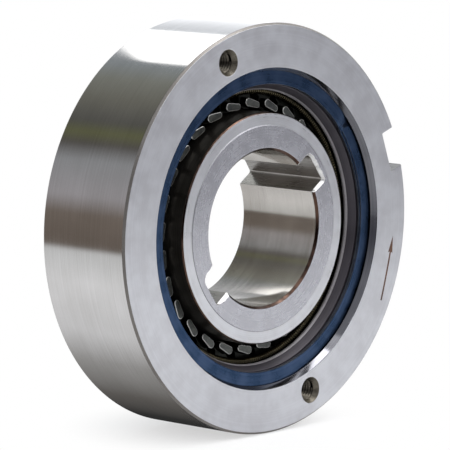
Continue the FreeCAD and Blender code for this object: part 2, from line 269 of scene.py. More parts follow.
# The mouths of the tapped holes: brownish, as drilled
DRILLED_SINK = MetalFinish("drilled_countersink", "544f46", "706a5e", (0.24, 0.36), (0.4, 0.4, 0.4),
                           bump=0.03, bare=0.7)
# Heat-blued spring steel
BLUED_SPRING = MetalFinish("blued_spring_steel", "22354e", "3e4f6b", (0.24, 0.34), (0.8, 40.0, 40.0),
                           turned=True, bump=0.02, cloud_size=9.0, streak=0.3)
# Sheared inner edge of the spring strip, where the blue is thin, painted lighter for the highlight along it
SHEARED_EDGE_PAINTED_HIGHLIGHT = MetalFinish("sheared_spring_edge_painted_highlight", "474b55", "6d717b", (0.34, 0.48), (1.5, 0.5, 1.5),
                           bump=0.03, bare=0.6)
# Black oxide on the end washers, with a purple-grey cast
DARK_OXIDE = MetalFinish("black_oxide_washer", "39363b", "4b474d", (0.36, 0.48), (0.6, 30.0, 30.0),
                         turned=True, bump=0.04, bare=0.45)
# The washers' inner edge, where the oxide has worn off, painted light for the highlight along it
WORN_RIM_PAINTED_HIGHLIGHT = MetalFinish("worn_washer_rim_painted_highlight", "918d90", "b0adb0", (0.36, 0.50), (0.5, 4.0, 0.5), bump=0.04,
                       bare=0.35)
# Drawn sprag bar, cut off square: dull grey ends
SPRAG_STEEL = MetalFinish("drawn_sprag_steel", "3e4040", "5e605c", (0.34, 0.46), (1.2, 6.0, 1.2),
                          bump=0.05, cloud_size=4.0, bare=0.8)
# The sprags' corners, tumbled bright and painted light for the highlights along their edges
TUMBLED_EDGE_PAINTED_HIGHLIGHT = MetalFinish("tumbled_sprag_edge_painted_highlight", "b6b7b3", "d6d6d2", (0.24, 0.34), (1.0, 1.0, 1.0),
                           bump=0.03, bare=0.8)
# Cams and flanks of the sprags, oiled and painted almost black for the shade deep between the races
OILED_FLANK_PAINTED_SHADE = MetalFinish("oiled_sprag_flank_painted_shade", "1c1d1b", "30312e", (0.32, 0.46), (1.2, 6.0, 1.2),
                          bump=0.05)
# Oil-tempered spring wire: dark with a hint of brass
SPRING_WIRE = MetalFinish("oil_tempered_wire", "3b372b", "675f4a", (0.16, 0.26), (1.0, 1.0, 1.0),
                          bump=0.02, cloud_size=9.0)
# Electro-etched mark: dull brown oxide in the steel's surface
ETCHED_MARK = MetalFinish("etched_mark", "3a2a22", "6b4a38", (0.5, 0.7), (0.4, 0.4, 0.4), bump=0.05,
                          cloud_size=6.0, bare=0.3)


# Modelling helpers


def deselect_all() -> None:
    """Clear the selection, whatever mode Blender is in."""
    if bpy.context.mode != "OBJECT":
        bpy.ops.object.mode_set(mode="OBJECT")
    bpy.ops.object.select_all(action="DESELECT")


def pick(piece: Piece) -> None:
    """Select one piece alone and make it the active one.

    Args:
        piece: The piece.
    """
    deselect_all()
    piece.select_set(True)
    bpy.context.view_layer.objects.active = piece


def rounded(corners: Sequence[Point], reach: float, steps: int = 3) -> list[Point]:
    """Round the corners of a closed outline.

    Args:
        corners: The outline's corners in order.
        reach: How far the rounding runs along each side of a corner.
        steps: How many edges each rounding has.

    Returns:
        The rounded outline's points.
    """
    longest_share = 0.45
    points = []
    for index, corner in enumerate(corners):
        here = Vector(corner)
        sides = [Vector(corners[index - 1]) - here, Vector(corners[(index + 1) % len(corners)]) - here]
        start, end = (here + side.normalized() * min(reach, longest_share * side.length) for side in sides)
        for step in range(steps + 1):
            share = step / steps
            points.append(tuple(start.lerp(here, share).lerp(here.lerp(end, share), share)))
    return points


def outline(name: str, points: Sequence[Vector]) -> Piece:
    """A closed line of edges, left in edit mode with all of it selected.

    Args:
        name: The new piece's name.
        points: The line's points, in millimetres.

    Returns:
        The piece.
    """
    deselect_all()
    bpy.ops.mesh.primitive_plane_add(size=MM, location=points[0] * MM)
    piece = bpy.context.object
    piece.name = name
    bpy.ops.object.transform_apply(location=True, rotation=True, scale=True)
    bpy.ops.object.mode_set(mode="EDIT")
    bpy.ops.mesh.select_all(action="SELECT")
    bpy.ops.mesh.merge(type="CENTER")
    for this, following in zip(points, [*points[1:], points[0]]):
        bpy.ops.mesh.extrude_region_move(TRANSFORM_OT_translate={"value": (following - this) * MM})
    bpy.ops.mesh.select_all(action="SELECT")
    bpy.ops.mesh.remove_doubles(threshold=OUTLINE_WELD * MM)
    return piece


def close_up() -> None:
    """Weld the mesh in edit mode, turn its faces outwards and go back to object mode."""
    bpy.ops.mesh.select_all(action="SELECT")
    bpy.ops.mesh.remove_doubles(threshold=MESH_WELD * MM)
    bpy.ops.mesh.normals_make_consistent(inside=False)
    bpy.ops.object.mode_set(mode="OBJECT")


def lathe(name: str, profile: Sequence[Point], steps: int = 240) -> Piece:
    """A closed ring turned about the Y axis.

    Args:
        name: The new piece's name.
        profile: The section's outline as radius and place along Y.
        steps: How many facets go round.

    Returns:
        The piece.
    """
    piece = outline(name, [Vector((radius, along, 0.0)) for radius, along in profile])
    bpy.ops.mesh.spin(steps=steps, angle=FULL_TURN, center=(0, 0, 0), axis=(0, 1, 0))
    close_up()
    return piece


def solid_from(name: str, points: Sequence[Vector], travel: Vector) -> Piece:
    """A flat outline drawn out into a solid.

    Args:
        name: The new piece's name.
        points: The flat outline, in millimetres.
        travel: How far and which way it is drawn out, in millimetres.

    Returns:
        The piece.
    """
    piece = outline(name, points)
    bpy.ops.mesh.edge_face_add()
    bpy.ops.mesh.extrude_region_move(TRANSFORM_OT_translate={"value": travel * MM})
    close_up()
    return piece


def use_modifier(piece: Piece, kind: str, **settings: object) -> None:
    """Add a modifier, set it up and apply it.

    Args:
        piece: The piece that gets it.
        kind: The modifier's type name.
        settings: The modifier's attributes.
    """
    pick(piece)
    modifier = piece.modifiers.new(kind.lower(), kind)
    for name, value in settings.items():
        setattr(modifier, name, value)
    bpy.ops.object.modifier_apply(modifier=modifier.name)


def cut(piece: Piece, cutter: Piece) -> None:
    """Take a cutter's shape out of a piece and throw the cutter away."""
    use_modifier(piece, "BOOLEAN", operation="DIFFERENCE", object=cutter, solver="EXACT")
    bpy.data.objects.remove(cutter)


def grow(piece: Piece, other: Piece) -> None:
    """Add another solid's shape to a piece and throw the other away."""
    use_modifier(piece, "BOOLEAN", operation="UNION", object=other, solver="EXACT")
    bpy.data.objects.remove(other)


def turn_and_place(piece: Piece, angle: float = 0.0, place: Vector | None = None) -> None:
    """Turn a piece counter-clockwise about the axis and move it, and put both into its mesh.

    Args:
        piece: The piece.
        angle: The turn in degrees, seen from the front.
        place: The move in millimetres, made after the turn.
    """
    pick(piece)
    piece.rotation_euler = (0.0, -math.radians(angle), 0.0)
    piece.location = (place or Vector()) * MM
    bpy.ops.object.transform_apply(location=True, rotation=True, scale=True)


def smooth(piece: Piece, angle: float = 40.0) -> None:
    """Shade a piece smooth up to an angle, with its large faces kept flat to the eye.

    Args:
        piece: The piece.
        angle: The angle between two faces in degrees, above which their edge stays sharp.
    """
    pick(piece)
    bpy.ops.object.shade_smooth_by_angle(angle=math.radians(angle))
    use_modifier(piece, "WEIGHTED_NORMAL", keep_sharp=True)


def dress(piece: Piece, finishes: Sequence[MetalFinish],
          choose: Callable[[Vector, Vector], MetalFinish] | None = None) -> None:
    """Give a piece its materials.

    Args:
        piece: The piece.
        finishes: The finishes in slot order.
        choose: Picks one of them from a face's centre in millimetres and its normal.
    """
    piece.data.materials.clear()
    for finish in finishes:
        piece.data.materials.append(finish.material())
    if choose:
        for face in piece.data.polygons:
            face.material_index = finishes.index(choose(face.center / MM, face.normal))


def hand_over(piece: Piece, body: str, nodes: Iterable[str] = ()) -> None:
    """Let a finished piece ride on its body and the nodes that it stands for.

    Args:
        piece: The piece.
        body: The body that carries it.
        nodes: The frame's nodes that it replaces.
    """
    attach(piece, body)
    if nodes:
        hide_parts(*nodes)
    LOG.info("%s: %d faces, on %s", piece.name, len(piece.data.polygons), body)


def around(radius: float, angle: float, along: float) -> Vector:
    """A point in millimetres at a radius, an angle in degrees and a place along Y."""
    turn = math.radians(angle)
    return Vector((radius * math.cos(turn), along, radius * math.sin(turn)))


def past_axis(centre: Vector, normal: Vector) -> float:
    """How far a normal points past the axis: 0 on a turned surface and more on a slot's wall."""
    return abs(normal.x * centre.z - normal.z * centre.x) / max(math.hypot(centre.x, centre.z), 1.0)


def flipped(points: Sequence[Point], side: Side) -> list[Point]:
    """A profile drawn for the front, for the given side."""
    return [(radius, along * -side.value) for radius, along in points]


# Sub-assemblies


@dataclass
class OuterRace:
    """Ground outer ring with its counterbores, ring grooves, key slot, tapped holes and direction mark.

    `near`, `wall_reach` and `hole_tilt` say how far a face may lie from a form and still belong to it.
    """

    half_width: float = 20.5
    radius: float = 75.0
    chamfer: float = 0.8
    track: float = 51.9
    seat: float = 9.2
    wall: float = 58.4
    groove_floor: float = 60.4
    groove: Point = (2.4, 5.15)
    mouth: float = 58.8
    lead_in: float = 57.5
    edge: float = 0.14
    slot_angle: float = 19.6
    slot_width: float = 15.4
    slot_depth: float = 7.0
    slot_corner: float = 0.3
    slot_edge: float = 0.22
    slot_edge_angle: float = 50.0
    hole_circle: float = 65.7
    hole_angles: Point = (109.5, 289.5)
    hole_radius: float = 4.0
    hole_depth: float = 17.0
    sink_radius: float = 4.85
    sink_depth: float = 2.0
    throat: float = 3.45
    relief: float = 0.3
    drill_start: float = -1.0
    drill_axis: float = 0.001
    near: float = 0.02
    wall_reach: float = 1.0
    hole_tilt: float = 0.95

    def build(self) -> None:
        """Model and dress the race and what is cut into it."""
        piece = lathe("outer_race_body", rounded(self.profile(), self.edge))
        cut(piece, self.slot_cutter())
        for angle in self.hole_angles:
            cut(piece, self.hole_cutter(angle))
        use_modifier(piece, "BEVEL", width=self.slot_edge * MM, segments=2, limit_method="ANGLE",
                     angle_limit=math.radians(self.slot_edge_angle), use_clamp_overlap=False)
        smooth(piece)
        dress(piece, (GROUND_OUTSIDE, SATIN_FACE, MILLED_WALL, OILED_TRACK, TURNED_CHAMFER, TURNED_WALL,
                      OILED_HOLE_PAINTED_SHADE, DRILLED_SINK), self.choose)
        hand_over(piece, "housing_side", ["outer_race"])
        for number, angle in enumerate(self.hole_angles, start=1):
            TappedThread(angle, f"tapped_thread_{number}").build(self)
        DirectionMark().build(self)

    def profile(self) -> list[Point]:
        """The ring's section.

        Returns:
            Its corners as radius and place along Y.
        """
        half = self.half_width
        near, far = self.groove
        front = [
            (self.track, self.seat - half), (self.wall, self.seat - half), (self.wall, far - half),
            (self.groove_floor, far - half), (self.groove_floor, near - half), (self.lead_in, near - half),
            (self.mouth, -half), (self.radius - self.chamfer, -half), (self.radius, self.chamfer - half),
        ]
        return front + [(radius, -along) for radius, along in reversed(front)]

    def slot_cutter(self) -> Piece:
        """A bar that mills the key slot from front to back.

        Returns:
            The bar, in its place.
        """
        floor, outside = self.radius - self.slot_depth, self.radius + self.slot_depth
        side, length = self.slot_width / 2, 3 * self.half_width
        corners = [(floor, -side), (outside, -side), (outside, side), (floor, side)]
        points = [Vector((x, -length / 2, z)) for x, z in rounded(corners, self.slot_corner, 2)]
        cutter = solid_from("slot_cutter", points, Vector((0, length, 0)))
        turn_and_place(cutter, self.slot_angle)
        return cutter

    def hole_cutter(self, angle: float) -> Piece:
        """A drill with its deep countersink, at one tapped hole.

        Args:
            angle: The hole's angle.

        Returns:
            The drill, in its place.
        """
        tip, flare = self.hole_radius / 2, self.sink_radius - self.throat
        profile = [(self.drill_axis, self.drill_start),
                   (self.sink_radius - self.drill_start * flare / self.sink_depth, self.drill_start),
                   (self.throat, self.sink_depth), (self.hole_radius, self.sink_depth + self.relief),
                   (self.hole_radius, self.hole_depth), (self.drill_axis, self.hole_depth + tip)]
        cutter = lathe("hole_cutter", profile, steps=48)
        turn_and_place(cutter, 0.0, around(self.hole_circle, angle, -self.half_width))
        return cutter

    def choose(self, centre: Vector, normal: Vector) -> MetalFinish:
        """Finish of a face.

        Args:
            centre: The face's centre.
            normal: Its normal.

        Returns:
            The finish.
        """
        radius, tilt = math.hypot(centre.x, centre.z), abs(normal.y)
        for angle in self.hole_angles:
            beside = (centre - around(self.hole_circle, angle, centre.y)).length
            if beside < self.sink_radius + self.near and tilt < self.hole_tilt:
                sunk = centre.y < self.sink_depth - self.half_width + self.near
                # The hole's walls take the near-black finish: painted shade inside the hole
                return DRILLED_SINK if sunk else OILED_HOLE_PAINTED_SHADE
        if tilt < FLAT and past_axis(centre, normal) > NOT_ROUND:
            return MILLED_WALL
        if radius < self.wall - self.wall_reach:
            return OILED_TRACK
        if radius > self.mouth and tilt > FLAT:
            return SATIN_FACE
        if radius > self.radius - 2 * self.chamfer:
            return TURNED_CHAMFER if tilt > SLOPED else GROUND_OUTSIDE
        return TURNED_WALL


@dataclass
class TappedThread:
    """The turns of thread in a tapped hole."""

    angle: float
    name: str
    pitch: float = 1.25
    crest_radius: float = 3.4
    root_gap: float = 0.02
    root_shares: Point = (0.04, 0.96)
    crest_shares: Point = (0.44, 0.56)
    first_depth: float = 2.25
    turns: int = 10
    steps: int = 32

    def build(self, race: OuterRace) -> None:
        """Wind the thread and set it in its hole.

        Args:
            race: The race that has the hole.
        """
        root = race.hole_radius + self.root_gap
        low, high = (share * self.pitch for share in self.root_shares)
        rise, fall = (share * self.pitch for share in self.crest_shares)
        section = [Vector((root, low, 0)), Vector((self.crest_radius, rise, 0)),
                   Vector((self.crest_radius, fall, 0)), Vector((root, high, 0))]
        piece = outline(self.name, section)
        bpy.ops.object.mode_set(mode="OBJECT")
        use_modifier(piece, "SCREW", axis="Y", angle=FULL_TURN, screw_offset=self.pitch * MM,
                     iterations=self.turns, steps=self.steps, render_steps=self.steps)
        bpy.ops.object.mode_set(mode="EDIT")
        bpy.ops.mesh.select_all(action="SELECT")
        bpy.ops.mesh.fill_holes(sides=len(section))
        close_up()
        start = self.first_depth - race.half_width
        turn_and_place(piece, 0.0, around(race.hole_circle, self.angle, start))
        smooth(piece, 30.0)
        # Dark finish: painted shade inside the tapped hole
        dress(piece, (THREAD_CREST_PAINTED_SHADE,))
        hand_over(piece, "housing_side")


@dataclass
class DirectionMark:
    """The etched arrow that shows which way the outer race runs free."""

    tail: Point = (61.2, -32.8)
    bend: Point = (64.9, -21.4)
    tip: Point = (67.8, -8.9)
    neck_share: float = 0.76
    shaft_width: float = 0.85
    head_width: float = 2.5
    sunk: float = 0.02
    film: float = 0.005
    barb_share: float = 0.02
    steps: int = 12

    def build(self, race: OuterRace) -> None:
        """Draw the arrow on the race's front face.

        Args:
            race: The race that carries it.
        """
        level = -race.half_width
        shares = [self.neck_share * step / self.steps for step in range(self.steps + 1)]
        right = [self.beside(share, self.shaft_width / 2) for share in shares]
        left = [self.beside(share, -self.shaft_width / 2) for share in reversed(shares)]
        barb = self.neck_share - self.barb_share
        head = [self.beside(barb, self.head_width / 2), self.tip, self.beside(barb, -self.head_width / 2)]
        points = [Vector((x, level + self.sunk, z)) for x, z in (*right, *head, *left)]
        piece = solid_from("direction_arrow", points, Vector((0, -self.sunk - self.film, 0)))
        dress(piece, (ETCHED_MARK,))
        hand_over(piece, "housing_side")

    def beside(self, share: float, away: float) -> Point:
        """A point beside the arrow's curve.

        Args:
            share: How far along the curve it is, from 0 to 1.
            away: How far to the right of the curve.

        Returns:
            Its X and Z.
        """
        tail, bend, tip = Vector(self.tail), Vector(self.bend), Vector(self.tip)
        first, second = tail.lerp(bend, share), bend.lerp(tip, share)
        along = (second - first).normalized()
        here = first.lerp(second, share)
        return here.x + along.y * away, here.y - along.x * away


@dataclass
class InnerRace:
    """Hardened sleeve with the inner track, the bore and two opposed keyways.

    The keyways' mouths are filed by hand, so their flare wavers. Its two waves have a size and a pace each.
    A face belongs to the bore or the pad up to `bore_reach` or `near` past it.
    """

    front: float = -17.7
    back: float = 20.5
    bore: float = 28.575
    bore_chamfer: float = 0.9
    track: float = 42.4
    track_chamfer: float = 0.5
    pad: float = 37.5
    pad_height: float = 0.3
    edge: float = 0.12
    key_angle: float = 35.7
    key_floor: float = 34.925
    key_half: float = 6.35
    small_corner: float = 0.8
    large_corner: float = 2.6
    corner_steps: int = 5
    side_steps: int = 14
    filed: float = 1.15
    near: float = 0.1
    long_wave: Point = (0.16, 0.9)
    short_wave: Point = (0.1, 2.3)
    least_filed: float = 0.12
    upper_filed: float = 0.7
    overshoot: float = 1.0
    bore_reach: float = 1.5
    bevel: float = 0.1
    bevel_angle: float = 32.0

    def build(self) -> None:
        """Model and dress the race."""
        piece = lathe("inner_race_body", rounded(self.profile(), self.edge))
        cut(piece, self.keyway_cutter())
        use_modifier(piece, "BEVEL", width=self.bevel * MM, segments=2, limit_method="ANGLE",
                     angle_limit=math.radians(self.bevel_angle), use_clamp_overlap=False)
        smooth(piece, 30.0)
        dress(piece, (INNER_FACE, HONED_BORE, MILLED_WALL, OILED_TRACK, PAD_FACE, FILED_EDGE,
                      BROWNED_CHAMFER, PAD_STEP), self.choose)
        hand_over(piece, "shaft_side", ["inner_race"])

    def profile(self) -> list[Point]:
        """The sleeve's section.

        Returns:
            Its corners as radius and place along Y.
        """
        rim = self.front + self.pad_height
        return [
            (self.bore, self.front + self.bore_chamfer), (self.bore + self.bore_chamfer, self.front),
            (self.pad, self.front), (self.pad + self.pad_height, rim),
            (self.track - self.track_chamfer, rim), (self.track, rim + self.track_chamfer),
            (self.track, self.back - self.track_chamfer), (self.track - self.track_chamfer, self.back),
            (self.bore + self.bore_chamfer, self.back), (self.bore, self.back - self.bore_chamfer),
        ]

    def bar(self, grown: float) -> list[Point]:
        """The outline of both keyways as one bar across the bore.

        Args:
            grown: How much larger than the keyways it is all round, as a file leaves it at the mouths.

        Returns:
            Points along the bar and across it, always the same number of them.
        """
        corners = ((1, -1, self.small_corner), (1, 1, self.large_corner),
                   (-1, 1, self.large_corner), (-1, -1, self.small_corner))
        ring = []
        for sign_x, sign_y, radius in corners:
            centre = Vector((sign_x * (self.key_floor - radius), sign_y * (self.key_half - radius)))
            start = math.atan2(sign_y, sign_x) - math.pi / 4
            for step in range(self.corner_steps + 1):
                turn = start + math.pi / 2 * step / self.corner_steps
                ring.append((centre, Vector((math.cos(turn), math.sin(turn))), radius))
        points = []
        for index, (centre, outwards, radius) in enumerate(ring):
            here = centre + outwards * radius
            points.append((here, outwards))
            if (index + 1) % (self.corner_steps + 1) == 0:
                next_centre, _, next_radius = ring[(index + 1) % len(ring)]
                there = next_centre + outwards * next_radius
                points += [(here.lerp(there, step / self.side_steps), outwards)
                           for step in range(1, self.side_steps)]
        deep = self.key_floor - self.bore
        filed = []
        for index, (here, outwards) in enumerate(points):
            wave = 1 + sum(size * math.sin(pace * index + shift)
                           for (size, pace), shift in ((self.long_wave, 0), (self.short_wave, 1)))
            most = 1.0 if here.x < 0 else self.upper_filed
            share = max(self.least_filed, min(most, (self.key_floor + here.x) / deep))
            filed.append(tuple(here + outwards * grown * wave * share))
        return filed

    def keyway_cutter(self) -> Piece:
        """The bar drawn through the bore, flared at both mouths where the edges were filed by hand.

        Returns:
            The bar, in its place.
        """
        flare = 2.0 * self.filed
        stations = [(self.front - self.overshoot, flare), (self.front + self.filed, 0.0),
                    (self.back - self.filed, 0.0), (self.back + self.overshoot, flare)]
        reached = stations[0][0]
        mouth = self.bar(flare)
        cutter = outline("keyway_cutter", [Vector((x, reached, z)) for x, z in mouth])
        bpy.ops.mesh.edge_face_add()
        for place, _ in stations[1:]:
            travel = Vector((0, place - reached, 0)) * MM
            bpy.ops.mesh.extrude_region_move(TRANSFORM_OT_translate={"value": travel})
            reached = place
        close_up()
        for place, grown in stations[1:]:
            wanted = self.bar(grown)
            for vertex in [v for v in cutter.data.vertices if abs(v.co.y / MM - place) < 0.01]:
                x, z = vertex.co.x / MM, vertex.co.z / MM
                nearest = min(range(len(mouth)), key=lambda k: math.dist(mouth[k], (x, z)))
                vertex.co = Vector((wanted[nearest][0], place, wanted[nearest][1])) * MM
        turn_and_place(cutter, self.key_angle)
        return cutter

    def choose(self, centre: Vector, normal: Vector) -> MetalFinish:
        """Finish of a face.

        Args:
            centre: The face's centre.
            normal: Its normal.

        Returns:
            The finish.
        """
        radius, tilt = math.hypot(centre.x, centre.z), abs(normal.y)
        bore = self.bore + self.bore_reach
        if tilt > FLAT:
            return PAD_FACE if radius < self.pad + self.near else INNER_FACE
        keyed = past_axis(centre, normal) > NOT_ROUND or radius > bore
        if keyed and radius < self.key_floor + 2 * self.filed:
            return FILED_EDGE if tilt > SLOPED else MILLED_WALL
        if radius < bore:
            return BROWNED_CHAMFER if tilt > SLOPED else HONED_BORE
        if radius > self.track - 2 * self.track_chamfer:
            return BROWNED_CHAMFER if tilt > SLOPED else OILED_TRACK
        return PAD_STEP


@dataclass
class EndWasher:
    """Bevelled washer that closes the sprag space."""

    side: Side
    hole: float = 50.3
    outside: float = 58.3
    front: float = -15.3
    back: float = -11.3
    bevel_width: float = 2.2
    bevel_depth: float = 3.3
    rim_land_width: float = 0.55
    highlight_and_wear_share: float = 0.8
    edge: float = 0.15

    def build(self) -> None:
        """Model and dress the washer."""
        worn = self.front + self.bevel_depth * (1 - self.rim_land_width / self.bevel_width)
        corners = [(self.hole + self.bevel_width, self.front), (self.outside, self.front),
                   (self.outside, self.back), (self.hole, self.back),
                   (self.hole, self.front + self.bevel_depth), (self.hole + self.rim_land_width, worn)]
        name = self.side.name.lower()
        piece = lathe(f"end_washer_{name}_body", rounded(flipped(corners, self.side), self.edge))
        smooth(piece)
        # Faces inside this radius take the light rim finish: worn oxide and painted highlight
        rim = self.hole + self.highlight_and_wear_share * self.rim_land_width
        dress(piece, (DARK_OXIDE, WORN_RIM_PAINTED_HIGHLIGHT),
              lambda centre, _: WORN_RIM_PAINTED_HIGHLIGHT if math.hypot(centre.x, centre.z) < rim else DARK_OXIDE)
        hand_over(piece, "housing_side", [f"end_washer_{name}"])


@dataclass
class SpiralRing:
    """Two-turn retaining ring, wound from flat blued wire."""

    side: Side
    inside: float = 52.7
    outside: float = 60.3
    front: float = -17.5
    back: float = -15.4
    end_angle: float = 37.4
    open_radius: float = 0.75
    open_angle: float = 97.0
    open_ease: float = 1.4
    crimp: float = 5.0
    slack: float = 0.03
    edge: float = 0.16
    steps: int = 160

    def build(self) -> None:
        """Wind the ring, ease its free end outwards and dress it."""
        thickness = (self.back - self.front) / 2
        low, high = self.slack, thickness - self.slack
        corners = [(self.inside, low), (self.outside, low), (self.outside, high), (self.inside, high)]
        section = rounded(corners, self.edge, 2)
        name = self.side.name.lower()
        piece = outline(f"retaining_ring_{name}_body", [Vector((r, y, 0)) for r, y in section])
        bpy.ops.object.mode_set(mode="OBJECT")
        size = len(piece.data.vertices)
        steps = 2 * self.steps
        use_modifier(piece, "SCREW", axis="Y", angle=-2 * FULL_TURN * self.side.value,
                     screw_offset=thickness * MM, steps=steps, render_steps=steps,
                     use_merge_vertices=False)
        self.settle(piece, size, steps)
        bpy.ops.object.mode_set(mode="EDIT")
        bpy.ops.mesh.select_all(action="SELECT")
        bpy.ops.mesh.fill_holes(sides=size)
        close_up()
        if self.side is Side.BACK:
            piece.scale = (1, -1, 1)
        turn_and_place(piece, self.end_angle, Vector((0, self.front * -self.side.value, 0)))
        bpy.ops.object.mode_set(mode="EDIT")
        close_up()
        smooth(piece)
        dress(piece, (BLUED_SPRING, SHEARED_EDGE_PAINTED_HIGHLIGHT), self.choose)
        hand_over(piece, "housing_side", [f"retaining_ring_{name}"])

    def choose(self, centre: Vector, normal: Vector) -> MetalFinish:
        """The sheared finish, with its painted highlight, for the inner edge of the strip, and the blue for
        all else.
        """
        inner = math.hypot(centre.x, centre.z) < (self.inside + self.outside) / 2
        return SHEARED_EDGE_PAINTED_HIGHLIGHT if inner and abs(normal.y) < FLAT else BLUED_SPRING

    def settle(self, piece: Piece, size: int, steps: int) -> None:
        """Lay both turns flat with a short crimp between them, and open the free end's inner edge.

        Args:
            piece: The wound ring.
            size: How many points one section has.
            steps: How many sections the whole winding has.
        """
        thickness = (self.back - self.front) / 2
        middle = (self.inside + self.outside) / 2
        for index, vertex in enumerate(piece.data.vertices):
            passed = (index // size) * 2 * CIRCLE / steps
            wound = passed / CIRCLE * thickness
            flat = thickness * max(0.0, min(1.0, (passed - CIRCLE + self.crimp) / self.crimp))
            vertex.co.y += (flat - wound) * MM
            radius = math.hypot(vertex.co.x, vertex.co.z) / MM
            if passed < self.open_angle and radius < middle:
                share = (1 - passed / self.open_angle) ** self.open_ease
                scale = 1 + self.open_radius * share / radius
                vertex.co.x *= scale
                vertex.co.z *= scale


@dataclass
class GarterSpring:
    """Coil joined into a ring, laid over the tongues at the sprags' ends.

    Its turns lie closer together than a picture can show, so they are drawn a millimetre apart.
    """

    side: Side
    circle: float = 50.0
    place: float = -8.9
    coil: float = 1.7
    wire: float = 0.26
    turns: int = 300
    points_per_turn: int = 10

    def build(self) -> None:
        """Wind the coil round its circle and dress it."""
        name = self.side.name.lower()
        deselect_all()
        bpy.ops.curve.primitive_bezier_circle_add(radius=self.circle * MM)
        coil = bpy.context.object
        coil.name = f"garter_spring_{name}_body"
        coil.data.splines.clear()
        coil.data.dimensions = "3D"
        spline = coil.data.splines.new("POLY")
        count = self.turns * self.points_per_turn
        spline.points.add(count - 1)
        for index, point in enumerate(spline.points):
            point.co = (*self.at(index / count), 1.0)
        spline.use_cyclic_u = True
        coil.data.bevel_depth = self.wire * MM
        coil.data.bevel_resolution = 1
        bpy.ops.object.convert(target="MESH")
        piece = bpy.context.object
        smooth(piece, 75.0)
        dress(piece, (SPRING_WIRE,))
        hand_over(piece, "spring_set", [f"garter_spring_{name}"])

    def at(self, share: float) -> Vector:
        """A point of the wire's centre line.

        Args:
            share: How far round the ring it is, from 0 to 1.

        Returns:
            Its place, in metres.
        """
        turn = FULL_TURN * share
        winding = turn * self.turns
        reach = self.coil - self.wire
        radius = self.circle + reach * math.cos(winding)
        along = self.place * -self.side.value + reach * math.sin(winding)
        return Vector((radius * math.cos(turn), along, radius * math.sin(turn))) * MM


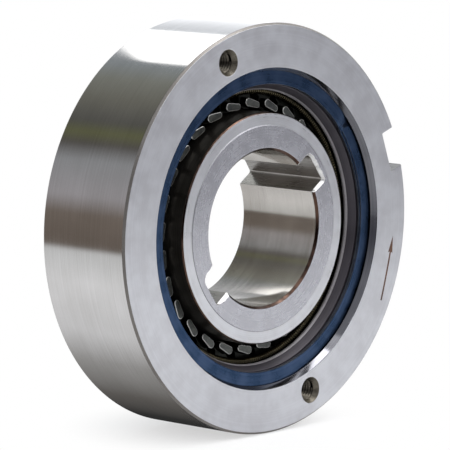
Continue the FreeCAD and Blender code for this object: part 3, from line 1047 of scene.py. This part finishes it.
@dataclass
class SpragSet:
    """The full ring of sprags. A sprag's own axes: across is clockwise, up is outwards.

    The tongue at each end runs between two circles, its heel and its nose. Each is given by its centre
    across and up and by its radius. An end keeps its own finish over `end_share` of the width of its edge.
    """

    count: int = 28
    pivot: float = 47.15
    half_length: float = 9.9
    lead: float = -0.8
    inner_track: float = 42.4
    outer_track: float = 51.9
    clearance: float = 0.18
    offset: float = 1.5
    inner_cam: float = 6.2
    inner_steps: int = 12
    outer_cam: float = 5.5
    outer_steps: int = 10
    heel_reach: float = 2.3
    nose_reach: float = 5.6
    nose_height: float = 0.6
    crown: Point = (3.2, -6.0)
    waist_left: Point = (-2.7, 0.4)
    waist_right: Point = (3.4, -0.5)
    tongue_length: float = 3.2
    tongue_heel: Spot = (-0.7, -1.55, 1.6)
    tongue_nose: Spot = (3.9, -2.75, 1.25)
    tongue_steps: int = 8
    edge: float = 0.3
    edge_angle: float = 28.0
    end_share: float = 1.1
    shortest_edge: float = 0.3

    def build(self) -> None:
        """Model one sprag and copy it round the ring."""
        pieces = [self.model()]
        for _ in range(1, self.count):
            piece = pieces[0].copy()
            piece.data = piece.data.copy()
            bpy.context.scene.collection.objects.link(piece)
            pieces.append(piece)
        for index, piece in enumerate(pieces):
            node = f"sprag_{index + 1:02d}"
            piece.name = f"{node}_body"
            turn_and_place(piece, CIRCLE * index / self.count + self.lead)
            hand_over(piece, node, [node])

    def model(self) -> Piece:
        """One sprag at angle 0, with its cams, its flanks and a rounded tongue at each end.

        Returns:
            The sprag.
        """
        finishes = (SPRAG_STEEL, TUMBLED_EDGE_PAINTED_HIGHLIGHT, OILED_FLANK_PAINTED_SHADE)
        piece = self.prism("sprag", self.section(), self.half_length - self.tongue_length)
        grow(piece, self.prism("sprag_tongue", self.tongue(), self.half_length))
        use_modifier(piece, "WELD", merge_threshold=self.shortest_edge * MM)
        dress(piece, finishes)
        # The rounded corners take the light finish: tumbled steel and painted highlight
        use_modifier(piece, "BEVEL", width=self.edge * MM, segments=3, limit_method="ANGLE",
                     angle_limit=math.radians(self.edge_angle), material=finishes.index(TUMBLED_EDGE_PAINTED_HIGHLIGHT),
                     use_clamp_overlap=False)
        # Faces away from the ends take the near-black finish: painted shade between the races
        for face in piece.data.polygons:
            if abs(face.center.y) / MM < self.half_length - self.end_share * self.edge:
                face.material_index = finishes.index(OILED_FLANK_PAINTED_SHADE)
        smooth(piece, 35.0)
        return piece

    def placed(self, across: float, up: float) -> Point:
        """A point of the sprag at angle 0, as X and Z in the frame."""
        return self.pivot + up, -across

    def section(self) -> list[Point]:
        """The sprag's outline between its tongues, counter-clockwise from its heel.

        Returns:
            Its points, across and up.
        """
        inner_up = (self.inner_track + self.clearance + self.inner_cam) ** 2 - self.offset ** 2
        outer_up = (self.outer_track - self.clearance - self.outer_cam) ** 2 - self.offset ** 2
        inner = self.cam((self.offset, math.sqrt(inner_up) - self.pivot), self.inner_cam, -1,
                         (-self.heel_reach, self.nose_reach), self.inner_steps)
        outer = self.cam((-self.offset, math.sqrt(outer_up) - self.pivot), self.outer_cam, 1,
                         self.crown, self.outer_steps)
        nose = (self.nose_reach, inner[-1][1] + self.nose_height)
        return [*inner, nose, self.waist_right, *outer, self.waist_left]

    def tongue(self) -> list[Point]:
        """The rounded tongue's outline, from its heel's circle to its nose's circle.

        Returns:
            Its points, across and up.
        """
        heel, nose = self.tongue_heel, self.tongue_nose
        lie = math.atan2(nose[1] - heel[1], nose[0] - heel[0])
        flare = math.acos((heel[2] - nose[2]) / math.dist(heel[:2], nose[:2]))
        return [*self.arc(heel[:2], heel[2], lie + flare, lie - flare + FULL_TURN, self.tongue_steps),
                *self.arc(nose[:2], nose[2], lie - flare, lie + flare, self.tongue_steps)]

    def cam(self, centre: Point, radius: float, sign: int, reach: Point, steps: int) -> list[Point]:
        """Points of a cam's arc.

        Args:
            centre: The arc's centre.
            radius: The arc's radius.
            sign: 1 for the arc's upper side, -1 for its lower side.
            reach: Where it starts and ends across.
            steps: How many edges it has.

        Returns:
            The points.
        """
        shares = (max(-1.0, min(1.0, (across - centre[0]) / radius)) for across in reach)
        start, end = (sign * math.acos(share) for share in shares)
        return self.arc(centre, radius, start, end, steps)

    @staticmethod
    def arc(centre: Point, radius: float, start: float, end: float, steps: int) -> list[Point]:
        """Points of an arc.

        Args:
            centre: The arc's centre.
            radius: The arc's radius.
            start: The angle where it starts, in radians.
            end: The angle where it ends.
            steps: How many edges it has.

        Returns:
            The points.
        """
        turns = [start + (end - start) * step / steps for step in range(steps + 1)]
        across, up = centre
        return [(across + radius * math.cos(turn), up + radius * math.sin(turn)) for turn in turns]

    def prism(self, name: str, shape: Sequence[Point], half: float) -> Piece:
        """A shape drawn out along the axis, to the same length on both sides of the middle.

        Args:
            name: The new piece's name.
            shape: The shape's points, across and up.
            half: Half the length.

        Returns:
            The piece.
        """
        points = [Vector((x, -half, z)) for x, z in (self.placed(across, up) for across, up in shape)]
        return solid_from(name, points, Vector((0, 2 * half, 0)))


# Studio


@dataclass(frozen=True)
class Lamp:
    """A rectangular lamp, in metres and watts. Its height runs as near to `upright` as may be."""

    name: str
    place: Spot
    shines: Spot
    upright: Spot
    size: Point
    power: float

    def hang(self) -> None:
        """Put the lamp in its place, facing the way it shines."""
        data = bpy.data.lights.new(self.name, "AREA")
        data.shape = "RECTANGLE"
        data.size, data.size_y = self.size
        data.energy = self.power
        out = -Vector(self.shines).normalized()
        across = Vector(self.upright).cross(out).normalized()
        lamp = bpy.data.objects.new(self.name, data)
        lamp.location = self.place
        lamp.rotation_mode = "QUATERNION"
        lamp.rotation_quaternion = Matrix((across, out.cross(across), out)).transposed().to_quaternion()
        bpy.context.scene.collection.objects.link(lamp)


# Soft light from above, over the table, at the ceiling and in front, and a strip for the long highlights
LAMPS = (
    Lamp("top_light", (0.42, -0.42, 0.95), (-0.42, 0.42, -0.95), (0, 1, 0), (0.35, 0.35), 2.2),
    Lamp("table_light", (0.2, -0.3, 0.3), (0, 0, -1), (0, 1, 0), (0.5, 0.5), 1.3),
    Lamp("ceiling_light", (0.11, -0.025, 0.6), (0, 0, -1), (-0.273, 0.962, 0), (0.23, 0.09), 0.52),
    Lamp("key_light", (-0.1, -0.8, 0.6), (0.1, 0.8, -0.6), (0, 0, 1), (0.12, 0.12), 0.9),
    Lamp("strip_light", (0.125, 0.273, 0.321), (-0.53, 0, -0.848), (0, 1, 0), (0.195, 0.097), 0.12),
)
# The room's light round the clutch's axis, by degrees from +X
LIGHT_BANDS = (
    (0, "f6f7f8"), (22, "dcdfe4"), (36, "c4c8ce"), (44, "a6aab0"), (56, "9a9ea4"), (68, "888c92"),
    (78, "7c8286"), (90, "72746f"), (104, "62625c"), (120, "4c4c4a"), (127, "585a42"), (134, "4c4a48"),
    (144, "84868a"), (164, "8e8c90"), (174, "665e58"), (193, "5e5650"), (195, "b8babc"), (214, "cccdd0"),
    (244, "c0c1c4"), (266, "8c8c8c"), (296, "565452"), (324, "282828"), (348, "202020"), (354, "8a8c90"),
    (360, "f6f7f8"))
# The room in front of the clutch, from the floor up
FRONT_TONES = ((0.3, "b4b4b7"), (0.42, "8f8f93"), (0.55, "7b7c82"), (0.8, "b0b1b5"))


@dataclass
class Studio:
    """Camera, floor and light. Lengths are metres here.

    The table's shade gives way to white over `fade`. Reflections don't see the table behind `hidden_behind`
    and left of `hidden_beside`. The room in front passes into the bands of light over `sides`. A dark patch
    stands where `dark_way` points, and its edge is `dark_edge` as the cosine of the angle.
    """

    azimuth: float = -46.40
    elevation: float = 7.53
    distance: float = 1.3403
    lens: float = 299.5
    sensor: float = 36.0
    clip: Point = (0.01, 50.0)
    target: Spot = (-0.02378, -0.02050, 0.00385)
    floor_level: float = -0.0752
    floor_radius: float = 0.62
    fade: Point = (0.01, 0.065)
    least_white: float = 0.5
    hidden_behind: Point = (-0.04, 0.0)
    hidden_beside: Point = (0.04, 0.0)
    sides: Point = (-0.15, 0.15)
    dark_way: Spot = (-0.72, -0.68, 0.05)
    dark_edge: Point = (0.9, 0.98)
    dark_tone: str = "2a2422"
    strength: float = 1.6

    def build(self) -> None:
        """Set up everything that isn't part of the clutch."""
        self.make_camera()
        self.make_floor()
        self.make_world()
        for lamp in LAMPS:
            lamp.hang()
        bpy.context.scene.view_settings.view_transform = "Standard"

    def make_camera(self) -> None:
        """Put the camera at the photograph's viewing angle."""
        turn, rise = math.radians(self.azimuth), math.radians(self.elevation)
        back = Vector((math.sin(turn) * math.cos(rise), -math.cos(turn) * math.cos(rise), math.sin(rise)))
        data = bpy.data.cameras.new("camera")
        data.lens = self.lens
        data.sensor_width = self.sensor
        data.clip_start, data.clip_end = self.clip
        camera = bpy.data.objects.new("camera", data)
        camera.location = Vector(self.target) + back * self.distance
        camera.rotation_mode = "QUATERNION"
        camera.rotation_quaternion = (-back).to_track_quat("-Z", "Y")
        bpy.context.scene.collection.objects.link(camera)
        bpy.context.scene.camera = camera

    def make_floor(self) -> None:
        """A round pale table top that fades into the white background."""
        deselect_all()
        bpy.ops.mesh.primitive_circle_add(vertices=128, radius=self.floor_radius, fill_type="NGON",
                                          location=(0, 0, self.floor_level))
        floor = bpy.context.object
        floor.name = "floor"
        material = new_material("pale_table")
        tree = material.node_tree
        place = add_node(tree, "ShaderNodeTexCoord").outputs["Object"]
        away = add_node(tree, "ShaderNodeVectorMath", {"operation": "LENGTH"}, {0: place}).outputs["Value"]
        axes = add_node(tree, "ShaderNodeSeparateXYZ", inputs={"Vector": place}).outputs
        rays = add_node(tree, "ShaderNodeLightPath").outputs
        faded, behind, beside = (
            add_node(tree, "ShaderNodeMapRange", {"interpolation_type": "SMOOTHSTEP"}, {
                "Value": value, "From Min": start, "From Max": end, "To Min": least})
            for value, (start, end), least in ((away, self.fade, self.least_white),
                                               (axes["Y"], self.hidden_behind, 0.0),
                                               (axes["X"], self.hidden_beside, 0.0)))
        corner, shown = (
            add_node(tree, "ShaderNodeMath", {"operation": "MULTIPLY"}, {0: first, 1: second})
            for first, second in ((behind, beside), (rays["Is Camera Ray"], faded)))
        hidden = add_node(tree, "ShaderNodeMath", {"operation": "MULTIPLY"},
                          {0: corner, 1: rays["Is Glossy Ray"]})
        matt = add_node(tree, "ShaderNodeBsdfDiffuse", inputs={"Color": linear("f2f2f2")})
        white = add_node(tree, "ShaderNodeEmission", inputs={"Color": linear("ffffff")})
        clear = add_node(tree, "ShaderNodeBsdfTransparent")
        table = add_node(tree, "ShaderNodeMixShader", inputs={0: hidden, 1: matt, 2: clear})
        mixed = add_node(tree, "ShaderNodeMixShader", inputs={0: shown, 1: table, 2: white})
        add_node(tree, "ShaderNodeOutputMaterial", inputs={"Surface": mixed})
        floor.data.materials.append(material)

    def make_world(self) -> None:
        """White to the camera, and for reflections a room in front and bands of light along the axis."""
        world = bpy.data.worlds.new("studio")
        world.use_nodes = True
        bpy.context.scene.world = world
        tree = world.node_tree
        tree.nodes.clear()
        way = add_node(tree, "ShaderNodeTexCoord").outputs["Generated"]
        axes = add_node(tree, "ShaderNodeSeparateXYZ", inputs={"Vector": way}).outputs
        turn = add_node(tree, "ShaderNodeMath", {"operation": "ARCTAN2"}, {0: axes["Z"], 1: axes["X"]})
        share = add_node(tree, "ShaderNodeMath", {"operation": "MULTIPLY_ADD"},
                         {0: turn, 1: 1 / FULL_TURN, 2: 1.0})
        share = add_node(tree, "ShaderNodeMath", {"operation": "FRACT"}, {0: share})
        back = add_node(tree, "ShaderNodeValToRGB", {".interpolation": "LINEAR"}, {"Fac": share},
                        [(place / CIRCLE, code) for place, code in LIGHT_BANDS])
        facing = add_node(tree, "ShaderNodeVectorMath", {"operation": "DOT_PRODUCT"},
                          {0: way, 1: self.dark_way})
        height, side, dark = (
            add_node(tree, "ShaderNodeMapRange", {"interpolation_type": kind}, {
                "Value": value, "From Min": start, "From Max": end})
            for value, (start, end), kind in ((axes["Z"], (-1.0, 1.0), "LINEAR"),
                                              (axes["Y"], self.sides, "LINEAR"),
                                              (facing.outputs["Value"], self.dark_edge, "SMOOTHSTEP")))
        front = add_node(tree, "ShaderNodeValToRGB", {".interpolation": "EASE"}, {"Fac": height},
                         FRONT_TONES)
        front = add_node(tree, "ShaderNodeMix", {"data_type": "RGBA"},
                         {0: dark, 6: front, 7: linear(self.dark_tone)}).outputs[2]
        room = add_node(tree, "ShaderNodeMix", {"data_type": "RGBA"},
                        {0: side, 6: front, 7: back}).outputs[2]
        seen = add_node(tree, "ShaderNodeLightPath").outputs["Is Camera Ray"]
        lit = add_node(tree, "ShaderNodeBackground", inputs={"Color": room, "Strength": self.strength})
        white = add_node(tree, "ShaderNodeBackground", inputs={"Color": linear("ffffff")})
        mixed = add_node(tree, "ShaderNodeMixShader", inputs={0: seen, 1: lit, 2: white})
        add_node(tree, "ShaderNodeOutputWorld", inputs={"Surface": mixed})


def main() -> None:
    """Build the clutch and its studio in order."""
    logging.basicConfig(level=logging.INFO, format="%(message)s")
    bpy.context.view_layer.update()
    OuterRace().build()
    InnerRace().build()
    for side in Side:
        EndWasher(side).build()
        SpiralRing(side).build()
        GarterSpring(side).build()
    SpragSet().build()
    Studio().build()


if __name__ == "__main__":
    main()
